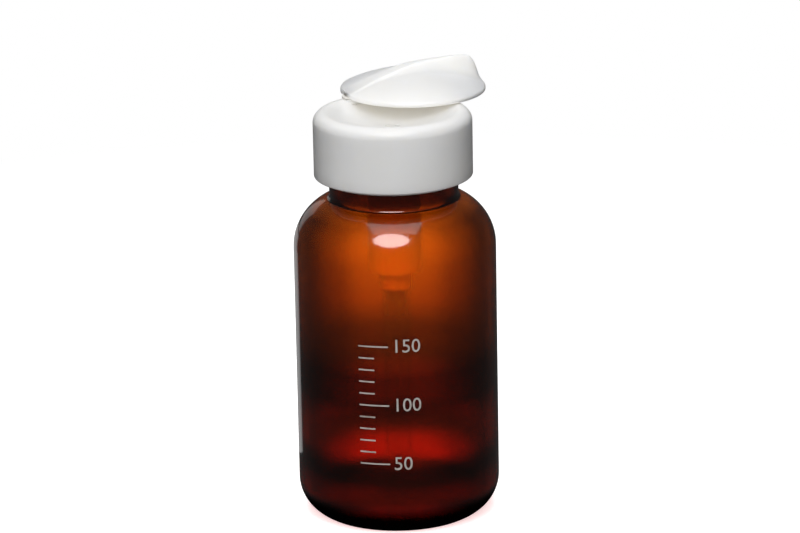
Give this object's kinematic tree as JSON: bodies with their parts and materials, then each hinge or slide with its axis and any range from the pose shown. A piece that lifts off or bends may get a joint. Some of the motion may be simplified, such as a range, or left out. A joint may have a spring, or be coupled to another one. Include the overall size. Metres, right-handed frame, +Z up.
{
  "type": "push-top dispensing bottle",
  "caption": "Round amber glass laboratory bottle with a white push-down pump cap, a dished top that fills with liquid, and a domed swing lid with a grip fin.",
  "frame": {"origin": "centre of the bottle's flat base, on the table", "axes": "+Z up along the bottle's axis; +X to the right and -Y towards the viewer of the picture, so the lid hangs out to the back (+Y)"},
  "size_m": [0.0628, 0.0774, 0.1384],
  "materials": {
    "amber_glass": "smooth moulded amber glass",
    "white_plastic": "satin moulded polypropylene",
    "natural_plastic": "natural translucent polyethylene",
    "gasket_rubber": "matt grey rubber",
    "stainless_steel": "drawn and ground stainless steel"
  },
  "bodies": {
    "bottle": {"glass_bottle": "amber_glass"},
    "liner": {"neck_gasket": "gasket_rubber"},
    "head": {"screw_collar": "white_plastic", "pump_cylinder": "natural_plastic", "stem_guide": "white_plastic", "ball_retainer": "natural_plastic", "dip_tube": "natural_plastic", "return_spring": "stainless_steel"},
    "inlet_valve": {"inlet_ball": "stainless_steel"},
    "plunger": {"push_cap": "white_plastic", "piston_stem": "white_plastic", "piston_seal": "natural_plastic", "pin_washer": "natural_plastic"},
    "outlet_valve": {"outlet_ball": "stainless_steel"},
    "lid": {"swivel_lid": "white_plastic", "lid_pin": "stainless_steel", "pin_clip": "stainless_steel"}
  },
  "joints": [
    {"name": "collar_lift", "type": "slide", "parent": "bottle", "child": "liner", "axis": [0, 0, 1], "range_m": [0, 0.0016]},
    {"name": "collar_turn", "type": "hinge", "parent": "liner", "child": "head", "pos_m": [0, 0, 0.112], "axis": [0, 0, 1], "range_deg": [0, 180]},
    {"name": "push_stroke", "type": "slide", "parent": "head", "child": "plunger", "axis": [0, 0, -1], "range_m": [0, 0.0045], "stiffness_N_per_m": 900, "springref_m": -0.006, "deforming": ["return_spring"]},
    {"name": "lid_swivel", "type": "hinge", "parent": "plunger", "child": "lid", "pos_m": [-0.01239, 0.01608, 0.1285], "axis": [0, 0, 1], "range_deg": [-73.2, 60]},
    {"name": "inlet_lift", "type": "slide", "parent": "head", "child": "inlet_valve", "axis": [0, 0, 1], "range_m": [0, 0.001]},
    {"name": "outlet_lift", "type": "slide", "parent": "plunger", "child": "outlet_valve", "axis": [0, 0, 1], "range_m": [0, 0.001]}
  ],
  "couplings": [
    {"joint": "collar_lift", "follows": "collar_turn", "m_per_rad": 0.00050532}
  ]
}
